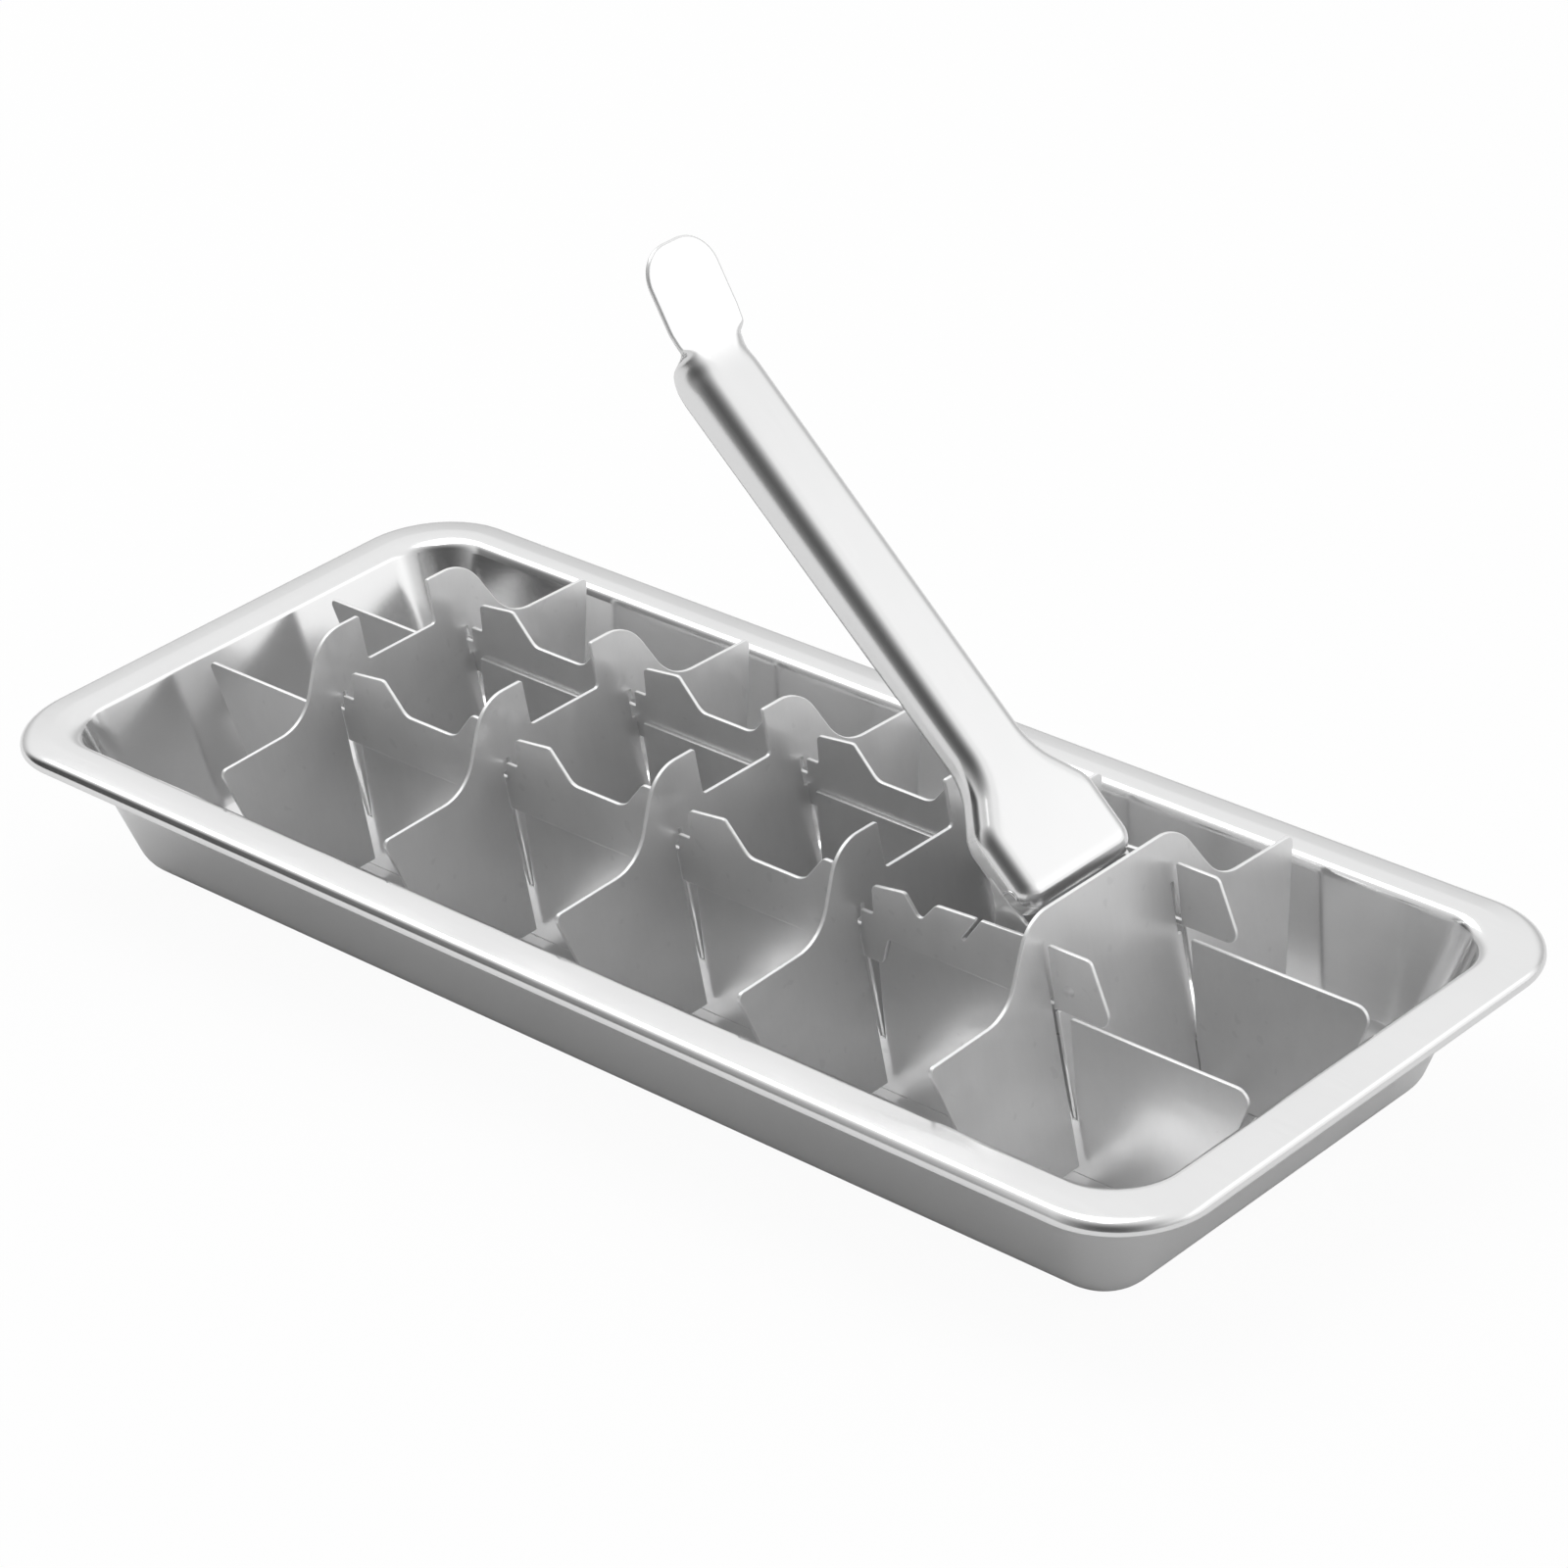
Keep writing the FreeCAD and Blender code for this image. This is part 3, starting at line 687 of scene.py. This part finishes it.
# flare, neck and bend are distances from the foot's end. depth is that of the channel at
# the foot, after the flare and before the neck; neckWay and neckDepth lead it on to the tab.
# slot is (half width, rise over the pivot, swing and lean in degrees), moon (x, z, radius,
# bead, flatness). dull is how far under the panel the foot's flanks turn dull, over which
# height, how far beyond the foot, and over which length that fades.
leverValues = {
    "tilt": leverTilt, "footEnd": (82.04, 48.39), "footHalf": 13.8, "shankHalf": 7.5,
    "flare": (15.0, 24.0), "flareRound": (7.0, 13.0), "endRound": 4.3,
    "neck": (104.5, 111.0), "neckWay": (2.5, 4.7), "neckDepth": (6.9, 4.4), "neckRound": 5.4,
    "neckOpen": 3.0, "neckStep": (1.6, 3.0), "bend": 109.4, "bendRun": 7.0, "tip": 18.5,
    "tabAngle": 17.6, "tabHalf": 8.1, "tabShoulder": 4.0, "tabRound": (3.0, 6.5),
    "tabEdge": (1.5, 1.05), "edgeRound": (3.3, 4.2), "depth": (6.2, 6.0, 7.5), "sheet": 1.0,
    "leastTurn": 0.03, "leastFlank": 0.05, "spineTip": 9.0, "dull": (2.4, 1.0, 3.0, 4.0),
    "pivot": (76.8, 36.5), "legRound": 4.4, "legBackZ": 43.4, "legFrontZ": 47.8,
    "legRoot": 10.5, "legOverlap": 1.3, "legCover": 0.02, "legCorner": (3.0, 0.5, 0.6),
    "rounding": 0.18, "slot": (1.2, 4.0, 37.3, 7.25), "moon": (76.2, 48.2, 1.5, 0.32, 0.8),
}


# The lever level, foot end at x 0 and tip towards -x, to its place: beyond the bend the
# panel follows a path whose slope grows smoothly to the tab's angle, and a point stands off
# that path by its height; then all is turned up by the tilt.
def placeLever(v, x, y, z):
    s = np.linspace(0, v["bend"] + v["tip"] + 5, 1200)
    u = np.clip((s - v["bend"] + v["bendRun"]) / (2 * v["bendRun"]), 0, 1)
    slope = math.radians(v["tabAngle"]) * u * u * (3 - 2 * u)
    step = s[1] - s[0]
    pathX = -np.concatenate([[0], np.cumsum(np.cos(slope[1:]) * step)])
    pathZ = np.concatenate([[0], np.cumsum(np.sin(slope[1:]) * step)])
    along = np.clip(-x, 0, s[-1])
    ang = np.interp(along, s, slope)
    bx = np.where(x > 0, x, np.interp(along, s, pathX)) + z * np.sin(ang)
    bz = np.interp(along, s, pathZ) + z * np.cos(ang)
    t = math.radians(v["tilt"])
    return np.stack([
        v["footEnd"][0] + bx * math.cos(t) + bz * math.sin(t), y,
        v["footEnd"][1] - bx * math.sin(t) + bz * math.cos(t),
    ], -1)


# Formed channel, one closed surface. Round the plan outline (first parameter) runs this
# profile (second parameter): from the centre line across the panel, over the edge arc
# (inset falls as R sin a, height falls as R (1 - cos a), up to the flank's angle), straight
# down the flank, round its rim, up the inside one sheet in, and back under the panel. Along
# the neck the channel opens out flat into the tab: flank, R and angle go to nothing.
def makeChannel(v):
    tip = -v["bend"] - v["tip"]
    foot, shank, tab = v["footHalf"], v["shankHalf"], v["tabHalf"]
    (f0, f1), (n0, n1) = v["flare"], v["neck"]
    way0, way1 = v["neckWay"]
    stepX, stepRound = v["neckStep"]
    panelRows, arcRows, innerRows, flankRows, rimRows = 12, 12, 9, 6, 9
    side = [
        (0, foot, v["endRound"]), (-f0, foot, v["flareRound"][0]),
        (-f1, shank, v["flareRound"][1]), (-n1 + stepX, shank, stepRound),
        (-v["bend"] - v["tabShoulder"], tab, v["tabRound"][0]), (tip, tab, v["tabRound"][1]),
    ]
    across = [(x, -y, r) for x, y, r in reversed(side)]
    loop = evenly(outline([(0, 0, 0)] + side + across, perArc=24), 720)
    normal = inward(loop)
    x = loop[:, 0]
    sheet, half = v["sheet"], v["sheet"] / 2
    tabDepth, tabRound = (share * sheet for share in v["tabEdge"])

    # a value given at distances from the foot, evened out over nine outline points
    def along(places, values):
        made = np.interp(-x, places, values)
        return np.convolve(np.concatenate([made[-4:], made, made[:4]]), np.ones(9) / 9, "valid")

    d0, d1, d2 = v["depth"]
    places = [0, f0, f1, n0, n0 + way0, n0 + way1, n1]
    depth = along(places, [d0, d0, d1, d2, *v["neckDepth"], tabDepth])
    bigR = along([f0, n0, n0 + way0, n1], [*v["edgeRound"], v["neckRound"], tabRound])
    closed = np.clip((n1 + x) / v["neckOpen"], 0, 1)
    angle = math.pi / 2 * np.maximum(closed * closed * (3 - 2 * closed), v["leastTurn"])
    length = np.maximum(depth - half - bigR, v["leastFlank"]) * np.sin(angle)
    sine, cosine = np.sin(angle), np.cos(angle)
    reach = (length + half) * cosine
    spineX = np.clip(x, tip + v["spineTip"], -foot)
    spine = np.stack([spineX, np.zeros_like(x)], -1)

    def at(inset):
        return loop + inset[:, None] * normal

    rows, heights, wears = [], [], []

    def put(flat, z, wearAndLight=0.0):
        rows.append(flat)
        heights.append(z)
        wears.append(wearAndLight)

    # angle a on the arc, t along the flank, under: how deep below the outer face
    def skin(a, t=0.0, under=0.0):
        inset = reach + bigR * (sine - np.sin(a)) - length * t * cosine + under * np.sin(a)
        return inset, -bigR * (1 - np.cos(a)) - length * t * sine - under * np.cos(a)

    def putSkin(*place):
        inset, z = skin(*place)
        put(at(inset), z)

    def putPanel(under, way):
        inset, z = skin(angle * 0, 0.0, under)
        for t in way:
            put(spine * (1 - t) + at(inset) * t, z)

    putPanel(0.0, np.linspace(0, 1, panelRows)[:-1])
    for a in np.linspace(0, 1, arcRows):
        putSkin(angle * a)
    for t in np.linspace(0, 1, flankRows)[1:]:
        putSkin(angle, t)
    for b in np.linspace(0, math.pi, rimRows)[1:]:
        inset, z = skin(angle, 1.0, half * (1 - math.cos(b)))
        put(at(inset - half * math.sin(b) * cosine), z - half * math.sin(b) * sine, 1.0)
    for t in np.linspace(1, 0, flankRows)[1:]:
        putSkin(angle, t, sheet)
    for a in np.linspace(1, 0, innerRows)[1:]:
        putSkin(angle * a, 0.0, sheet)
    putPanel(sheet, np.linspace(1, 0, panelRows)[1:])
    flat, z = np.stack(rows), np.stack(heights)
    # the foot's flanks are as dull as the legs
    below, fade, ahead, run = v["dull"]
    dull = np.clip((-z - below) / fade, 0, 1) * np.clip((x + f0 + ahead) / run, 0, 1)
    wearAndLight = np.maximum(np.array(wears)[:, None], dull)
    shell = Shell()
    shell.add(placeLever(v, flat[..., 0], flat[..., 1], z), edge=wearAndLight)
    return shell


# Leg: a flat leaf hanging from the flank, lobed round the hinge pin, with the stud's slot.
def addLeg(shell, v, side):
    t = math.radians(v["tilt"])
    px, pz = v["pivot"]
    r, deep, root = v["legRound"], v["depth"][0] - v["legOverlap"], v["legRoot"]
    backRound, ridgeRound, frontRound = v["legCorner"]
    nearR = r * 0.999  # a hair under the half width, so that the lobe's two arcs don't meet
    ridgeX = v["footEnd"][0] - deep * math.sin(t)
    ridgeZ = v["footEnd"][1] - deep * math.cos(t)
    loop = outline([
        (px - r, pz - r, nearR), (px + r, pz - r, nearR), (px + r, v["legBackZ"], backRound),
        (ridgeX, ridgeZ, ridgeRound),
        (ridgeX - root * math.cos(t), ridgeZ + root * math.sin(t), ridgeRound),
        (px - r, v["legFrontZ"], frontRound),
    ], perArc=14)
    half, rise, swing, lean = v["slot"]
    swing, lean = math.radians(swing), math.radians(lean)
    low, high, end = rise - half, rise / math.cos(swing) + half, half * lobe
    ends = [(-half, low, end), (half, low, end), (half, high, end), (-half, high, end)]
    hole = outline(ends, perArc=14)
    hole = np.stack([
        px + hole[:, 0] * math.cos(lean) + hole[:, 1] * math.sin(lean),
        pz - hole[:, 0] * math.sin(lean) + hole[:, 1] * math.cos(lean),
    ], -1)
    centre = hole.mean(0)
    a = np.linspace(-math.pi, math.pi, 160, endpoint=False)

    # where the ray at angle a from the slot's middle meets an outline
    def cast(ring):
        dense = evenly(ring, 4000) - centre
        angle = np.arctan2(dense[:, 1], dense[:, 0])
        order = np.argsort(angle)
        far = np.linalg.norm(dense, axis=1)[order]
        radius = np.interp(a, angle[order], far, period=2 * math.pi)
        return centre + radius[:, None] * np.stack([np.cos(a), np.sin(a)], -1)

    # its face just covers the flank's rim
    y = side * (v["footHalf"] - v["sheet"] / 2 + v["legCover"])

    def place(x, z, h):
        return np.stack([x, y + h, z], -1)

    addPiercedLeaf(shell, cast(loop), cast(hole), v["sheet"], v["rounding"], place)

    # pressed half-moon: a bead whose thickness goes as the root of sin a, over half a circle
    x, z, radius, bead, flatness = v["moon"]
    start, rows, around = 0.02, 32, 12
    a = np.linspace(start, math.pi - start, rows)[:, None]
    b = np.linspace(0, 2 * math.pi, around, endpoint=False)
    thick = bead * np.sqrt(np.sin(a))
    way = radius + thick * np.cos(b)
    out = y + side * v["sheet"] / 2 + thick * flatness * np.sin(b)
    shell.add(np.stack([x + way * np.cos(a), out, z + way * np.sin(a)], -1), capped=True)


lever = makeChannel(leverValues)
for side in (-1, 1):
    addLeg(lever, leverValues, side)
lever = lever.build("leverArm", leverSteel)
seam = lever.modifiers.new("centreSeam", "WELD")  # joins both halves along the centre line
seam.merge_threshold = 2e-6
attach(lever, "lever")
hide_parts("lever")
print("lever made")


# Lengths of the stage are in metres. Each light or dim part of the room is (direction,
# cosine where it begins, cosine where it is full).
stageValues = {
    "floor": 3.0, "floorColour": 0.84, "floorWhite": 0.95,
    "backLow": 0.62, "backHigh": 1.0, "dimSide": 0.07, "bright": 0.45,
    "ceiling": ((0.0, 0.0, 1.0), 0.15, 0.50), "window": ((0.77, 0.62, 0.15), 0.80, 0.95),
    "nearLeft": ((-0.70, -0.68, 0.20), 0.74, 0.95), "leftOnly": ((-1.0, 0.0, 0.0), 0.45, 0.72),
    "nearRight": ((0.35, -0.78, 0.52), 0.38, 1.08),
    "top": {
        "place": (-0.55, 0.06, 1.30), "aim": (0.0, 0.0, 0.0), "size": (0.72, 1.4), "watts": 6.5,
    },
}
cameraValues = {
    "place": (0.589955, -0.570607, 0.496902), "sensor": 36.0, "lens": 122.767,
    "right": (0.728355, 0.681487, -0.071235), "down": (0.289102, -0.399901, -0.869770),
    "ahead": (-0.621224, 0.612907, -0.488289), "clip": (0.01, 50.0),
}


def makeFloor(v):
    size = v["floor"]
    corners = [(-size, -size, 0), (size, -size, 0), (size, size, 0), (-size, size, 0)]
    mesh = bpy.data.meshes.new("floor")
    mesh.from_pydata(corners, [], [(0, 1, 2, 3)])
    material = bpy.data.materials.new("paleFloor")
    material.use_nodes = True
    s = Shader(material.node_tree)
    seen = s.wire(s.node("ShaderNodeLightPath"), "Is Camera Ray")
    base = s.node("ShaderNodeBsdfDiffuse", None, {"Color": (v["floorColour"],) * 3 + (1,)})
    white = s.node("ShaderNodeEmission", None, {"Color": (1, 1, 1, 1), "Strength": 1.0})
    mixed = s.node("ShaderNodeMixShader", None, {
        0: seen * v["floorWhite"], 1: base.outputs[0], 2: white.outputs[0],
    })
    s.node("ShaderNodeOutputMaterial", None, {"Surface": mixed.outputs[0]})
    mesh.materials.append(material)
    floor = bpy.data.objects.new("floor", mesh)
    bpy.context.scene.collection.objects.link(floor)
    return floor


# White all round for what looks at the room directly. In the steel the far walls are pale
# and lighter towards the ceiling, with a window far on the right, and two parts of the near
# side are dim.
def makeRoom(v):
    world = bpy.data.worlds.new("room")
    bpy.context.scene.world = world
    world.use_nodes = True
    s = Shader(world.node_tree)
    seen = s.wire(s.node("ShaderNodeLightPath"), "Is Camera Ray")
    ray = s.node("ShaderNodeTexCoord").outputs["Generated"]

    def toward(direction, low, high):
        node = s.node("ShaderNodeVectorMath", {"operation": "DOT_PRODUCT"}, {0: ray, 1: direction})
        return s.wire(node, "Value").ramp(low, high)

    dim = (toward(*v["nearLeft"]) * toward(*v["leftOnly"])).larger(toward(*v["nearRight"]))
    rise = (v["backHigh"] - v["backLow"]) * toward(*v["ceiling"])
    room = v["backLow"] + rise + v["bright"] * toward(*v["window"])
    level = seen + (1.0 - seen) * (room * (1.0 - dim) + v["dimSide"] * dim)
    back = s.node("ShaderNodeBackground", None, {"Color": (1, 1, 1, 1), "Strength": level})
    s.node("ShaderNodeOutputWorld", None, {"Surface": back.outputs[0]})


def makeLamp(name, v):
    light = bpy.data.lights.new(name, "AREA")
    light.shape, light.energy = "RECTANGLE", v["watts"]
    light.size, light.size_y = v["size"]
    lamp = bpy.data.objects.new(name, light)
    bpy.context.scene.collection.objects.link(lamp)
    lamp.location = v["place"]
    aim = Vector(v["aim"]) - Vector(v["place"])
    lamp.rotation_euler = aim.to_track_quat("-Z", "Y").to_euler()


def makeCamera(v):
    data = bpy.data.cameras.new("camera")
    data.sensor_width, data.lens = v["sensor"], v["lens"]
    data.clip_start, data.clip_end = v["clip"]
    camera = bpy.data.objects.new("camera", data)
    bpy.context.scene.collection.objects.link(camera)
    right, down, ahead = (Vector(v[axis]) for axis in ("right", "down", "ahead"))
    turn = Matrix((right, -down, -ahead)).transposed()
    camera.matrix_world = Matrix.Translation(v["place"]) @ turn.to_4x4()
    bpy.context.scene.camera = camera


makeFloor(stageValues)
makeRoom(stageValues)
makeLamp("topPanel", stageValues["top"])
makeCamera(cameraValues)
bpy.context.scene.view_settings.view_transform = "Standard"
print("stage set")
